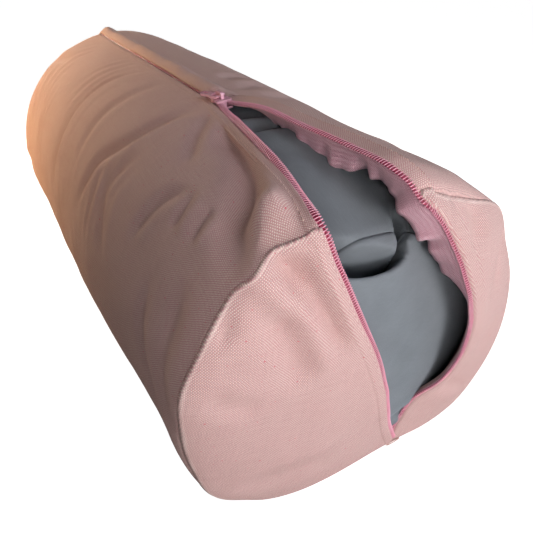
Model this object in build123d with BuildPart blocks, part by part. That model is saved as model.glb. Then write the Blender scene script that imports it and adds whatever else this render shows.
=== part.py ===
from build123d import *

import os
from math import asin, cos, degrees, radians, sin, sqrt

# Bolster pillow: a stuffed liner inside a zipped cloth cover, standing on its flattened underside.
# +X runs along the roll to the open end, +Z is up, and the origin is under the middle of the roll.
# The zip runs along the roll, over the open end's rim and down that end, and is open from its
# slider to its lower end. All sizes are in millimetres and all angles in degrees.

# Cover
COVER_RADIUS = 112.0
COVER_HALF_LENGTH = 205.0  # middle of the roll to each end seam
COVER_BULGE = 20.0  # how far an end panel stands out past its seam
COVER_AXIS_HEIGHT = 97.0  # less than the radius, because the roll sags flat on its underside
CLOTH = 1.2

# Stuffed liner, lying on the bottom of the cover
LINER_RADIUS = 105.0
LINER_HALF_LENGTH = 199.0
LINER_BULGE = 18.0
LINER_AXIS_HEIGHT = CLOTH + 91.0
LINER_CLOTH = 0.8
FILLING_GAP = 0.2

# Zip: a coil chain on two tapes sewn under the cover's cut edges, called lips here
ZIP_ROLL = 10.0  # the zip lies this far to the left of the top, looking at the open end
TAPE = 0.7
TAPE_UNDER_CLOTH = 11.0
TAPE_SHOWING = 1.6
COIL_WIDTH = 3.0
COIL_PROUD = 0.6
CHAIN_SLIT = 0.05  # half the slit left between the two coils where they are closed
CLOSED_LIP = TAPE_SHOWING + COIL_WIDTH + CHAIN_SLIT
MOUTH_START = 68.0  # where along the roll the lips begin to part
RIM_CROSSING = 108.0  # height, from the axis, where the lips cross the open end's rim
MOUTH_END = -96.0  # height, from the axis, where they meet again on the open end
MOUTH_END_SIDE = 28.5
CHAIN_FAR_END = -193.0
CHAIN_LOW_END = -99.0
TAPE_LOW_END = -101.0

# Threads
THREAD = 0.4
STITCH_OUTSIDE_LIP = {"left": 4.0, "right": 7.0}
TACK_HALF_WIDTH = 5.6
TACK_LENGTH = 2.0
TACK_THICKNESS = 0.8

# Slider and its pull tab
SLIDER_TAIL = 64.0
SLIDER_NOSE = 76.0
SLIDER_TAIL_HALF_WIDTH = 4.3
SLIDER_NOSE_HALF_WIDTH = 5.6
SLIDER_PLATE = 1.1
SLIDER_CLEARANCE = 0.3
LOW_PLATE_CLEARANCE = 0.5
FLANGE_THICKNESS = 0.9
FLANGE_NOSE_END = 68.4
WEDGE_START = 71.0
WEDGE_END = 75.5
WEDGE_HALF_WIDTH = 1.25
BRIDGE_WIDTH = 1.8
BRIDGE_LENGTH = 7.6
BRIDGE_HEIGHT = 3.9
BRIDGE_BAR = 1.4
TAB_YAW = 25.0  # the tab lies turned this far to the left of the chain
TAB_THICKNESS = 1.4
TAB_LENGTH = 15.0
TAB_RING_HALF_WIDTH = 3.9
TAB_TIP_HALF_WIDTH = 2.7
TAB_RING_END = 6.2
TAB_BRIDGE_SLOT = (1.1, 5.0, 2.8)  # start, end, half width
TAB_TIP_SLOT = (9.0, 13.0, 0.8)

PARTS_FOLDER = "parts"
REACH = 40.0  # how far cutting shapes run past what they cut

# Planes of the zip: one looking down on the top of the roll, one looking at the open end.
# In both, the zip's own "up" runs from the axis of the roll out through the closed chain.
zip_up = (0, -sin(radians(ZIP_ROLL)), cos(radians(ZIP_ROLL)))
zip_right = (0, cos(radians(ZIP_ROLL)), sin(radians(ZIP_ROLL)))
cover_axis_point = (0, 0, COVER_AXIS_HEIGHT)
top_plane = Plane(origin=cover_axis_point, x_dir=(1, 0, 0), z_dir=zip_up)
end_plane = Plane(origin=cover_axis_point, x_dir=zip_right, z_dir=(1, 0, 0)).offset(COVER_HALF_LENGTH)
side_plane = Plane(origin=cover_axis_point, x_dir=(1, 0, 0), z_dir=tuple(-c for c in zip_right))

# Course of each lip, as the cut edge of the cloth: along the top as (place along the roll, side),
# then down the open end as (side, height from the axis).
TOP_LIPS = {
    "left": [(MOUTH_START, -CLOSED_LIP), (76, -6.4), (140, -18), (COVER_HALF_LENGTH, -29)],
    "right": [(MOUTH_START, CLOSED_LIP), (76, 6.4), (140, 17), (COVER_HALF_LENGTH, 26)],
}
END_LIPS = {
    "left": [(-29, RIM_CROSSING), (-16.5, 60), (-1, 0), (12, -50), (MOUTH_END_SIDE - CLOSED_LIP, MOUTH_END)],
    "right": [(26, RIM_CROSSING), (52, 62), (69, 5), (63, -30), (MOUTH_END_SIDE + CLOSED_LIP, MOUTH_END)],
}
OUTWARD = {"left": -1, "right": 1}


def stuffed_shape(radius, half_length, bulge, axis_height, floor, depth):
    """A roll with domed ends, flat where it rests on the floor, and its skin moved inwards by depth."""
    dome_radius = (radius**2 + bulge**2) / (2 * bulge)
    dome_centre = half_length + bulge - dome_radius
    dome_angle = degrees(asin((radius - depth) / (dome_radius - depth)))
    rim = dome_centre + sqrt((dome_radius - depth) ** 2 - (radius - depth) ** 2)
    profile_plane = Plane(origin=(0, 0, axis_height), x_dir=(1, 0, 0), z_dir=(0, -1, 0))
    with BuildPart() as shape:
        with BuildSketch(profile_plane):
            with BuildLine():
                CenterArc((dome_centre, 0), dome_radius - depth, 0, dome_angle)
                Line((rim, radius - depth), (-rim, radius - depth))
                CenterArc((-dome_centre, 0), dome_radius - depth, 180 - dome_angle, dome_angle)
                Line((-half_length - bulge + depth, 0), (half_length + bulge - depth, 0))
            make_face()
        revolve(axis=Axis((0, 0, axis_height), (1, 0, 0)))
        split(bisect_by=Plane.XY.offset(floor + depth), keep=Keep.TOP)
    return shape.part


def cover_shape(depth):
    """The cover's outside, moved inwards by depth."""
    return stuffed_shape(COVER_RADIUS, COVER_HALF_LENGTH, COVER_BULGE, COVER_AXIS_HEIGHT, 0, depth)


def liner_shape(depth):
    """The liner's outside, moved inwards by depth."""
    return stuffed_shape(LINER_RADIUS, LINER_HALF_LENGTH, LINER_BULGE, LINER_AXIS_HEIGHT, CLOTH, depth)


def slab(low, high):
    """Everything between two places along the roll."""
    with BuildPart() as block:
        with BuildSketch(Plane.YZ.offset(low)):
            Rectangle(8 * COVER_RADIUS, 8 * COVER_RADIUS)
        extrude(amount=high - low)
    return block.part


def above(height):
    """Everything higher than a height from the axis, measured along the zip's up, on the open half."""
    with BuildPart() as block:
        with BuildSketch(top_plane.offset(height)):
            Rectangle(8 * COVER_RADIUS, 8 * COVER_RADIUS)
        extrude(amount=4 * COVER_RADIUS)
    return block.part


def between_edges(first, second):
    """The strip between two edges, each given as (lip, distance outside it), along the top and down the end."""
    along = []
    down = []
    for lip, outside in (first, second):
        shift = OUTWARD[lip] * outside
        along.append([(x, side + shift) for x, side in TOP_LIPS[lip]])
        down.append([(side + shift, height) for side, height in END_LIPS[lip]])
    with BuildPart() as strip:
        with BuildSketch(top_plane):
            with BuildLine():
                for points in along:
                    Line((-COVER_HALF_LENGTH, points[0][1]), points[0])
                    Line(points[0], points[1])
                    Spline(points[1:])
                Line((-COVER_HALF_LENGTH, along[0][0][1]), (-COVER_HALF_LENGTH, along[1][0][1]))
                Line(along[0][-1], along[1][-1])
            make_face()
        extrude(amount=COVER_RADIUS + REACH)
        with BuildSketch(end_plane):
            with BuildLine():
                for points in down:
                    Line((points[0][0], COVER_RADIUS + REACH), points[0])
                    Spline(points)
                    Line(points[-1], (points[-1][0], -COVER_RADIUS - REACH))
                Line((down[0][0][0], COVER_RADIUS + REACH), (down[1][0][0], COVER_RADIUS + REACH))
                Line((down[0][-1][0], -COVER_RADIUS - REACH), (down[1][-1][0], -COVER_RADIUS - REACH))
            make_face()
        extrude(amount=COVER_BULGE + REACH)
    return strip.part


def save(piece, name):
    """Label a finished piece and write it to its own file."""
    piece.part.label = name
    export_step(piece.part, f"{PARTS_FOLDER}/{name}.step")


os.makedirs(PARTS_FOLDER, exist_ok=True)
barrel_slab = slab(-COVER_HALF_LENGTH, COVER_HALF_LENGTH)
chain_slab = slab(CHAIN_FAR_END, COVER_HALF_LENGTH + REACH)
mouth = between_edges(("left", 0), ("right", 0))
stitched_strip = between_edges(
    ("left", STITCH_OUTSIDE_LIP["left"] + 2 * THREAD),
    ("right", STITCH_OUTSIDE_LIP["right"] + 2 * THREAD),
)

# Cover barrel: one cloth panel wrapped into a tube, its two long edges joined by the zip.
with BuildPart() as cover_barrel:
    add(cover_shape(0))
    add(cover_shape(CLOTH), mode=Mode.SUBTRACT)
    add(barrel_slab, mode=Mode.INTERSECT)
    add(mouth, mode=Mode.SUBTRACT)
save(cover_barrel, "cover_barrel")

# End panels: a whole disc at the back, and two halves parted by the zip at the open end.
with BuildPart() as end_panels:
    add(cover_shape(0))
    add(cover_shape(CLOTH), mode=Mode.SUBTRACT)
    add(barrel_slab, mode=Mode.SUBTRACT)
    add(mouth, mode=Mode.SUBTRACT)
front_panels = end_panels.solids().filter_by(lambda s: s.center().X > 0).sort_by(Axis.Y)
with BuildPart() as back_cap:
    add(end_panels.solids().sort_by(Axis.X)[0])
save(back_cap, "back_cap")
for name, panel in (("front_cap_left", front_panels[0]), ("front_cap_right", front_panels[-1])):
    with BuildPart() as front_cap:
        add(panel)
    save(front_cap, name)

# Zip tapes, coils and topstitching, one of each along each lip.
for lip in ("left", "right"):
    with BuildPart() as tape:
        add(cover_shape(CLOTH))
        add(cover_shape(CLOTH + TAPE), mode=Mode.SUBTRACT)
        add(between_edges((lip, -TAPE_SHOWING - COIL_WIDTH / 2), (lip, TAPE_UNDER_CLOTH)), mode=Mode.INTERSECT)
        add(above(TAPE_LOW_END), mode=Mode.INTERSECT)
    save(tape, f"zip_tape_{lip}")

    with BuildPart() as coil:
        add(cover_shape(-COIL_PROUD))
        add(cover_shape(CLOTH), mode=Mode.SUBTRACT)
        add(between_edges((lip, -TAPE_SHOWING - COIL_WIDTH), (lip, -TAPE_SHOWING)), mode=Mode.INTERSECT)
        add(above(CHAIN_LOW_END), mode=Mode.INTERSECT)
        add(chain_slab, mode=Mode.INTERSECT)
    save(coil, f"zip_coil_{lip}")

    stitch = STITCH_OUTSIDE_LIP[lip]
    with BuildPart() as topstitch:
        add(cover_shape(-THREAD))
        add(cover_shape(0), mode=Mode.SUBTRACT)
        add(between_edges((lip, stitch), (lip, stitch + THREAD)), mode=Mode.INTERSECT)
        add(above(CHAIN_LOW_END), mode=Mode.INTERSECT)
        add(chain_slab, mode=Mode.INTERSECT)
    save(topstitch, f"topstitch_{lip}")

# Bar tacks: thread sewn across the chain at both of its ends, which stop the slider.
with BuildPart() as tack_layer:
    add(cover_shape(-COIL_PROUD - TACK_THICKNESS))
    add(cover_shape(-COIL_PROUD), mode=Mode.SUBTRACT)
with BuildPart() as zip_tack_far:
    with BuildSketch(top_plane):
        with Locations((CHAIN_FAR_END + TACK_LENGTH / 2, 0)):
            Rectangle(TACK_LENGTH, 2 * TACK_HALF_WIDTH)
    extrude(amount=COVER_RADIUS + REACH)
    add(tack_layer.part, mode=Mode.INTERSECT)
save(zip_tack_far, "zip_tack_far")
with BuildPart() as zip_tack_near:
    with BuildSketch(end_plane):
        with Locations((MOUTH_END_SIDE, CHAIN_LOW_END + TACK_LENGTH / 2)):
            Rectangle(2 * TACK_HALF_WIDTH, TACK_LENGTH)
    extrude(amount=COVER_BULGE + REACH)
    add(tack_layer.part, mode=Mode.INTERSECT)
save(zip_tack_near, "zip_tack_near")

# Seam threads: the sewing that closes each end panel to its barrel, lying in the seam's ditch.
for name, shape, half_length, opening, floor in (
    ("seam_thread_front", cover_shape, COVER_HALF_LENGTH, stitched_strip, 0),
    ("seam_thread_back", cover_shape, -COVER_HALF_LENGTH, None, 0),
    ("liner_seam_thread_front", liner_shape, LINER_HALF_LENGTH, None, CLOTH),
    ("liner_seam_thread_back", liner_shape, -LINER_HALF_LENGTH, None, CLOTH),
):
    with BuildPart() as seam_thread:
        add(shape(-THREAD))
        add(shape(0), mode=Mode.SUBTRACT)
        add(slab(half_length - THREAD / 2, half_length + THREAD / 2), mode=Mode.INTERSECT)
        if opening:
            add(opening, mode=Mode.SUBTRACT)
        split(bisect_by=Plane.XY.offset(floor), keep=Keep.TOP)
    save(seam_thread, name)

# Liner: a sewn cloth tube with an end panel at each end, filled solid.
liner_slab = slab(-LINER_HALF_LENGTH, LINER_HALF_LENGTH)
with BuildPart() as liner_barrel:
    add(liner_shape(0))
    add(liner_shape(LINER_CLOTH), mode=Mode.SUBTRACT)
    add(liner_slab, mode=Mode.INTERSECT)
save(liner_barrel, "liner_barrel")
with BuildPart() as liner_ends:
    add(liner_shape(0))
    add(liner_shape(LINER_CLOTH), mode=Mode.SUBTRACT)
    add(liner_slab, mode=Mode.SUBTRACT)
for name, place in (("liner_back_cap", 0), ("liner_front_cap", -1)):
    with BuildPart() as liner_cap:
        add(liner_ends.solids().sort_by(Axis.X)[place])
    save(liner_cap, name)
with BuildPart() as filling:
    add(liner_shape(LINER_CLOTH + FILLING_GAP))
save(filling, "filling")

# Slider: two plates on a wedge that parts the coils, and a bridge that holds the pull tab.
slider_middle = (SLIDER_TAIL + SLIDER_NOSE) / 2
plate_top_under = COVER_RADIUS + COIL_PROUD + SLIDER_CLEARANCE
plate_top_over = plate_top_under + SLIDER_PLATE
plate_low_over = COVER_RADIUS - CLOTH - TAPE - LOW_PLATE_CLEARANCE
flange_low = COVER_RADIUS - CLOTH + SLIDER_CLEARANCE
with BuildPart() as slider_body:
    for height, thickness in ((plate_top_under, SLIDER_PLATE), (plate_low_over, -SLIDER_PLATE)):
        with BuildSketch(top_plane.offset(height)) as plate:
            with BuildLine():
                Polyline(
                    (SLIDER_TAIL, -SLIDER_TAIL_HALF_WIDTH),
                    (slider_middle, -SLIDER_TAIL_HALF_WIDTH),
                    (SLIDER_NOSE, -SLIDER_NOSE_HALF_WIDTH),
                    (SLIDER_NOSE, SLIDER_NOSE_HALF_WIDTH),
                    (slider_middle, SLIDER_TAIL_HALF_WIDTH),
                    (SLIDER_TAIL, SLIDER_TAIL_HALF_WIDTH),
                    close=True,
                )
            make_face()
            fillet(plate.vertices(), 1.2)
        extrude(amount=thickness)
    with BuildSketch(top_plane.offset(plate_low_over)):
        with BuildLine():
            Polyline(
                (WEDGE_START, 0),
                (WEDGE_END, -WEDGE_HALF_WIDTH),
                (WEDGE_END, WEDGE_HALF_WIDTH),
                close=True,
            )
        make_face()
    extrude(amount=plate_top_under - plate_low_over)
    flange_length = FLANGE_NOSE_END - SLIDER_TAIL - 1
    flange_side = SLIDER_TAIL_HALF_WIDTH - FLANGE_THICKNESS / 2
    with BuildSketch(top_plane.offset(flange_low)):
        with Locations((FLANGE_NOSE_END - flange_length / 2, 0)):
            with GridLocations(0, 2 * flange_side, 1, 2):
                Rectangle(flange_length, FLANGE_THICKNESS)
    extrude(amount=plate_top_under - flange_low)
    with BuildSketch(side_plane.offset(-BRIDGE_WIDTH / 2)):
        with Locations((slider_middle, plate_top_over + BRIDGE_HEIGHT / 2 - 0.5)):
            RectangleRounded(BRIDGE_LENGTH, BRIDGE_HEIGHT + 1, 1.8)
        bridge_hole_height = BRIDGE_HEIGHT - BRIDGE_BAR
        with Locations((slider_middle, plate_top_over + bridge_hole_height / 2)):
            Rectangle(BRIDGE_LENGTH - 2 * BRIDGE_BAR, bridge_hole_height, mode=Mode.SUBTRACT)
        with Locations((slider_middle, plate_top_over - SLIDER_PLATE / 2 - 1)):
            Rectangle(2 * BRIDGE_LENGTH, SLIDER_PLATE + 2 - SLIDER_PLATE / 2, mode=Mode.SUBTRACT)
    extrude(amount=BRIDGE_WIDTH)
save(slider_body, "slider_body")

# Pull tab: a flat teardrop with a slot for the bridge at its root and a second slot near its tip.
pivot_height = plate_top_over + (BRIDGE_HEIGHT - BRIDGE_BAR) / 2
tab_pivot = top_plane.from_local_coords(Vector(slider_middle, 0, pivot_height))
tab_direction = top_plane.from_local_coords(
    Vector(slider_middle - cos(radians(TAB_YAW)), -sin(radians(TAB_YAW)), pivot_height)
) - tab_pivot
tab_plane = Plane(origin=tab_pivot, x_dir=tab_direction, z_dir=zip_up)
with BuildPart() as pull_tab:
    with BuildSketch(tab_plane):
        with BuildLine():
            Polyline(
                (0, TAB_RING_HALF_WIDTH),
                (TAB_RING_END - 1.5, TAB_RING_HALF_WIDTH),
                (TAB_RING_END + 1, TAB_TIP_HALF_WIDTH),
                (TAB_LENGTH - TAB_TIP_HALF_WIDTH, TAB_TIP_HALF_WIDTH),
            )
            RadiusArc(
                (TAB_LENGTH - TAB_TIP_HALF_WIDTH, TAB_TIP_HALF_WIDTH),
                (TAB_LENGTH - TAB_TIP_HALF_WIDTH, -TAB_TIP_HALF_WIDTH),
                TAB_TIP_HALF_WIDTH,
            )
            Polyline(
                (TAB_LENGTH - TAB_TIP_HALF_WIDTH, -TAB_TIP_HALF_WIDTH),
                (TAB_RING_END + 1, -TAB_TIP_HALF_WIDTH),
                (TAB_RING_END - 1.5, -TAB_RING_HALF_WIDTH),
                (0, -TAB_RING_HALF_WIDTH),
                (0, TAB_RING_HALF_WIDTH),
            )
        make_face()
        for slot_start, slot_end, slot_half_width in (TAB_BRIDGE_SLOT, TAB_TIP_SLOT):
            with Locations(((slot_start + slot_end) / 2, 0)):
                RectangleRounded(slot_end - slot_start, 2 * slot_half_width, 0.7, mode=Mode.SUBTRACT)
    extrude(amount=TAB_THICKNESS / 2, both=True)
    with BuildSketch(Plane(origin=tab_pivot, x_dir=tab_direction, z_dir=tab_plane.y_dir)):
        Circle(TAB_THICKNESS / 2)
    extrude(amount=TAB_RING_HALF_WIDTH, both=True)
save(pull_tab, "pull_tab")

print("pull tab pivot", tab_pivot, "axis", -tab_plane.y_dir)
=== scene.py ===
from collections import namedtuple
from math import cos, pi, radians, sin

import bpy
import numpy as np
from mathutils import Matrix, Vector


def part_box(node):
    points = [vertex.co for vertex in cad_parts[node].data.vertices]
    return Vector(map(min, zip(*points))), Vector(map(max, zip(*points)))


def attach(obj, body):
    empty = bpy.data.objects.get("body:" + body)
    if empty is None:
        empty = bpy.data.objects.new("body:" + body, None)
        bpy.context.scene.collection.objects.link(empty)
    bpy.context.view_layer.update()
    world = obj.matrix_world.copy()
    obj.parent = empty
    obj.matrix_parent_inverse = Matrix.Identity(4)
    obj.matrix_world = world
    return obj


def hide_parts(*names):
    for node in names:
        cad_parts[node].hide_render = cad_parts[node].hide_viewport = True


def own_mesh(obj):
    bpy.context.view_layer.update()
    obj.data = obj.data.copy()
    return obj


# Bolster pillow: a stuffed grey liner inside a pink canvas cover whose zip is open at one end.
# Shapes are worked out in millimetres in the CAD's frame: +X along the roll to the open end, +Z up.
# Angles about the roll, called turn, are in degrees from straight up towards +Y.
# The sides of the zip are -1 for the left, towards -Y, and 1 for the right.

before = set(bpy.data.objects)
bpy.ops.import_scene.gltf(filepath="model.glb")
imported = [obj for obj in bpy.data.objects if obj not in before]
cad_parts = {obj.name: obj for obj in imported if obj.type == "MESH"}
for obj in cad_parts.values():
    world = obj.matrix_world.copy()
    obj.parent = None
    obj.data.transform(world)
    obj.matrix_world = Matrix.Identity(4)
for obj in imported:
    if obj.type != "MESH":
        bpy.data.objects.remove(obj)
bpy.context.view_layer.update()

MM = 0.001


def millimetres(node_name):
    """Lowest and highest corner of a CAD node's box."""
    low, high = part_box(node_name)
    return np.array(low) / MM, np.array(high) / MM


cover_high = millimetres("cover_barrel")[1]
HALF = cover_high[0]  # middle of the roll to its end seam
RADIUS = cover_high[1]
AXIS = cover_high[2] - RADIUS  # height of the roll's axis
liner_high = millimetres("liner_barrel")[1]
LINER_HALF = liner_high[0]
LINER_RADIUS = liner_high[1]
LINER_AXIS = liner_high[2] - LINER_RADIUS
SLIDER_TAIL = millimetres("slider_body")[0][0]

CLOTH = 1.2
LINER_CLOTH = 0.8
TAPE = 0.6
HEM = 1.3  # radius of the folded edge of the cloth
LIP_TO_LIP = 700.0  # round the cover from one lip to the other
CLOTH_ROUND = 704.0  # the same with the folded edges
RIM = 18.0  # length along the roll over which the barrel rounds into its open end
BACK_RIM = 14.0  # the same at the back end
BACK_DROP = 5.0  # how far the back end has rounded in at its seam
CAP_DOME = 13.5  # how far the open end bulges
BACK_DOME = 12.0
CAP_GRAIN = 0.12  # lean of the weave on the open end, in radians
CAP_WEAVE_APART = 900  # shift in the weave map that sets the two halves' cloth apart
SEAM_LEAN = 0.45  # how far an edge at a seam turns along the roll as it turns in

ZIP_ROLL = 10.0  # the zip lies this far to the left of the top
ZIP_COS, ZIP_SIN = cos(radians(ZIP_ROLL)), sin(radians(ZIP_ROLL))
ZIP_FAR_END = -193.0
MOUTH_START = 60.0  # where along the roll the lips begin to part
MOUTH_FOOT_TURN = 154.3  # where both lips meet the seam under the mouth
CLOSED_LIP = 4.65  # cut edge of the cloth to the middle of the closed chain
LEFT_LIP_RADIUS = 110.5
COIL_PITCH = 1.5
COIL_STEPS = 12  # points to each turn of a coil
COIL_WIDE, COIL_HIGH = 1.5, 0.56  # half the width and height of a coil's winding
FILAMENT, CORE = 0.22, 0.55  # radii of the wound filament and of a cord of the core
STITCH_OUTSIDE = {-1: 4.6, 1: 7.6}  # width of the stitched band beside each lip

FLOOR_TURN = 140  # past this turn, either way, the roll rests on the floor
MM_PER_DEGREE = RADIUS * pi / 180


# ---------- curves and small helpers


def through(points, at):
    """A smooth curve through a few (place, value, ...) points, read at many places."""
    knots = np.array(points, float)
    place, value = knots[:, 0], knots[:, 1:]
    slope = np.gradient(value, place, axis=0)
    at = np.asarray(at, float)
    flat = np.clip(at.ravel(), place[0], place[-1])
    i = np.clip(np.searchsorted(place, flat) - 1, 0, len(place) - 2)
    gap = (place[i + 1] - place[i])[:, None]
    t = ((flat - place[i])[:, None]) / gap
    made = (
        (2 * t**3 - 3 * t**2 + 1) * value[i]
        + (t**3 - 2 * t**2 + t) * gap * slope[i]
        + (3 * t**2 - 2 * t**3) * value[i + 1]
        + (t**3 - t**2) * gap * slope[i + 1]
    )
    return made.reshape(at.shape) if made.shape[1] == 1 else made.reshape(at.shape + (-1,))


def around(points, turn):
    """The same for a closed outline given by turn."""
    whole = [(t - 360, *v) for t, *v in points] + list(points) + [(t + 360, *v) for t, *v in points]
    return through(whole, (np.asarray(turn) + 180) % 360 - 180)


def smooth01(t):
    t = np.clip(t, 0, 1)
    return t * t * (3 - 2 * t)


def bell(t):
    """1 at 0, falling away smoothly on both sides."""
    return np.exp(-(t**2))


def rounded(t):
    """Fall of a quarter circle, from 0 at 0 to nearly 1 at 1."""
    return 1 - np.sqrt(1 - 0.999 * t**2)


def wander(u, v, seed):
    """Smooth noise from -1 to 1 that changes over a distance of about 1."""
    u, v = np.broadcast_arrays(u, v)
    table = np.random.default_rng(seed).uniform(-1, 1, (64, 64))
    i, j = np.floor(u).astype(int), np.floor(v).astype(int)
    s, t = smooth01(u - i), smooth01(v - j)
    a, b = table[i % 64, j % 64], table[(i + 1) % 64, j % 64]
    c, d = table[i % 64, (j + 1) % 64], table[(i + 1) % 64, (j + 1) % 64]
    return (a * (1 - s) + b * s) * (1 - t) + (c * (1 - s) + d * s) * t


def unit(v):
    return v / np.maximum(np.linalg.norm(v, axis=-1, keepdims=True), 1e-9)


def distances(points, axis=0):
    """Distance along a path, or along each row or column of a grid, at each of its points."""
    step = np.linalg.norm(np.diff(points, axis=axis), axis=-1)
    zero = np.zeros_like(np.take(step, [0], axis=axis))
    return np.concatenate([zero, np.cumsum(step, axis=axis)], axis=axis)


def from_zip(side, up):
    """World y and z of a point given by the zip's own right and up from the roll's axis."""
    return side * ZIP_COS - up * ZIP_SIN, AXIS + up * ZIP_COS + side * ZIP_SIN


def to_zip(y, z):
    """The zip's own right and up of a world y and z."""
    return y * ZIP_COS + (z - AXIS) * ZIP_SIN, (z - AXIS) * ZIP_COS - y * ZIP_SIN


def turn_of(y, z):
    return np.degrees(np.arctan2(y, z - AXIS))


def polar(x, radius, turn, axis=AXIS):
    angle = np.radians(turn)
    return np.stack([x + 0 * radius, radius * np.sin(angle), axis + radius * np.cos(angle)], -1)


def into_roll(turn, lean):
    """Directions from the rim of an end in towards the axis, leaning along the roll."""
    return unit(polar(lean, -np.ones_like(turn), turn, 0))


def out_of_roll(points):
    return unit(points * [0, 1, 1] - [0, 0, AXIS])


def fine_line(points, steps):
    """A smooth line through a few points, with what they carry, in so many steps from each to the next."""
    knots = [(i, *p) for i, p in enumerate(points)]
    return through(knots, np.linspace(0, len(points) - 1, steps * (len(points) - 1) + 1))


def nearest_on(line, u, v):
    """Distance of places to a line of (u, v, ...) points, their side of it and what it carries there."""
    u, v = np.broadcast_arrays(u, v)
    nearest, side = np.full(u.shape, 1e9), np.zeros(u.shape)
    carried = np.zeros(u.shape + (line.shape[1] - 2,))
    for start, end in zip(line[:-1], line[1:]):
        run = (end - start)[:2]
        t = np.clip(((u - start[0]) * run[0] + (v - start[1]) * run[1]) / (run @ run), 0, 1)
        off_u, off_v = u - start[0] - t * run[0], v - start[1] - t * run[1]
        distance = np.hypot(off_u, off_v)
        closer = distance < nearest
        nearest = np.where(closer, distance, nearest)
        side = np.where(closer, np.sign(run[0] * off_v - run[1] * off_u), side)
        carried = np.where(closer[..., None], start[2:] + t[..., None] * (end - start)[2:], carried)
    return nearest, side, np.moveaxis(carried, -1, 0)


def fold(u, v, path, width, ridge):
    """Depth, from 0 to -1, of a fold whose bottom follows a path, with a ridge on the path's left."""
    line = fine_line(path, 7)
    length = distances(line)
    distance, side, (along,) = nearest_on(np.column_stack([line, length / length[-1]]), u, v)
    fade = smooth01(0.15 + 3.2 * along) * smooth01(0.15 + 3.2 * (1 - along))
    return fade * (ridge * bell((side * distance / width - 1.9) / 1.1) - bell(distance / width))


def all_folds(folds, u, v, scale=1.0):
    """Height of several folds. Scale takes the second value of their paths to the measure of v."""
    total = 0.0
    for depth, width, ridge, path in folds:
        total = total + depth * fold(u, v, [(a, b * scale) for a, b in path], width, ridge)
    return total


# ---------- meshes


def add(name, data):
    """A new object of the scene."""
    made = bpy.data.objects.new(name, data)
    bpy.context.scene.collection.objects.link(made)
    return made


def piece(name, points, faces, look, slot, uv=None, paler=None):
    """A smooth piece of the cover's body, from points in millimetres.

    Its weave map uv is in millimetres of cloth. The last argument gives how much paler a cloth is painted
    beside a seam, or is 1 on a coil's filament and 0 on its core, which the coil's material paints dark as
    shade between the windings.
    """
    mesh = bpy.data.meshes.new(name)
    mesh.from_pydata((np.asarray(points).reshape(-1, 3) * MM).tolist(), [], faces)
    if uv is not None:
        layer = mesh.uv_layers.new(name="weave")
        corners = np.zeros(len(mesh.loops), int)
        mesh.loops.foreach_get("vertex_index", corners)
        layer.data.foreach_set("uv", np.asarray(uv).reshape(-1, 2)[corners].astype(np.float32).ravel())
    if paler is not None:
        layer = mesh.attributes.new("paler", "FLOAT", "POINT")
        layer.data.foreach_set("value", np.ravel(paler).astype(np.float32))
    mesh.materials.append(look)
    mesh.update()
    mesh.shade_smooth()
    made = add(name, mesh)
    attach(made, "cover")
    return made


def grid_faces(rows, columns, closed=False):
    """Quads of a grid of points, rows first. A closed grid's last column joins its first."""
    last = columns if closed else columns - 1
    i, j = np.meshgrid(np.arange(rows - 1), np.arange(last), indexing="ij")
    k = (j + 1) % columns
    quads = np.stack([i * columns + j, i * columns + k, (i + 1) * columns + k, (i + 1) * columns + j], -1)
    return quads.reshape(-1, 4).tolist()


def flipped(faces):
    return [face[::-1] for face in faces]


def thicken(made, thickness, offset=-1):
    solid = made.modifiers.new("thickness", "SOLIDIFY")
    solid.thickness = thickness * MM
    solid.offset = offset
    solid.use_even_offset = False
    return made


def tube(path, radius, sides, normals):
    """Points and faces of a closed tube along a path, its radius given once or per point."""
    tangent = unit(np.gradient(path, axis=0))
    side = unit(np.cross(tangent, normals))
    up = np.cross(side, tangent)
    angle = np.linspace(0, 2 * pi, sides, endpoint=False)[None, :, None]
    radius = np.broadcast_to(np.asarray(radius, float), (len(path),))[:, None, None]
    ring = path[:, None] + radius * (np.cos(angle) * side[:, None] + np.sin(angle) * up[:, None])
    count = len(path)
    faces = grid_faces(count, sides, closed=True)
    faces.append(list(range(sides))[::-1])
    faces.append(list(range((count - 1) * sides, count * sides)))
    return ring.reshape(-1, 3), faces


def joined(parts):
    """Several (points, faces) as one."""
    points, faces, count = [], [], 0
    for p, f in parts:
        points.append(p)
        faces.extend([[k + count for k in face] for face in f])
        count += len(p)
    return np.concatenate(points), faces


# ---------- materials


class Signal:
    """What a node gives out. It can be reckoned with like a number."""

    def __init__(self, socket):
        self.socket = socket
        self.tree = socket.id_data

    def maths(self, operation, other=None):
        return node(self.tree, "ShaderNodeMath", self, other, operation=operation)

    def __add__(self, other):
        return self.maths("ADD", other)

    def __mul__(self, other):
        return self.maths("MULTIPLY", other)

    def ramp(self, low, high):
        return node(self.tree, "ShaderNodeMapRange", self, low, high)

    def between(self, first, second):
        return mix(self.tree, self, first, second)


def plug(value, socket):
    """Feeds a socket from a signal, or sets it. A colour is opaque."""
    if isinstance(value, Signal):
        socket.id_data.links.new(value.socket, socket)
    elif value is not None:
        socket.default_value = (*value, 1) if socket.type == "RGBA" else value


def node(tree, kind, *values, output=0, named=None, **settings):
    """What a new node gives out, once its inputs are fed in order and by name."""
    made = tree.nodes.new(kind)
    for key, value in settings.items():
        setattr(made, key, value)
    for key, value in [*enumerate(values), *(named or {}).items()]:
        plug(value, made.inputs[key])
    return Signal(made.outputs[output])


def mix(tree, amount, first, second, blend="MIX"):
    """A blend of two colours. A mix node's colours are its seventh and eighth inputs, its third output."""
    fed = {0: amount, 6: first, 7: second}
    return node(tree, "ShaderNodeMix", output=2, named=fed, data_type="RGBA", blend_type=blend)


def noise(tree, place, scale, detail=2.0, roughness=0.5, output="Fac"):
    fed = {"Scale": scale, "Detail": detail, "Roughness": roughness}
    return node(tree, "ShaderNodeTexNoise", place, output=output, named=fed)


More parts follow.
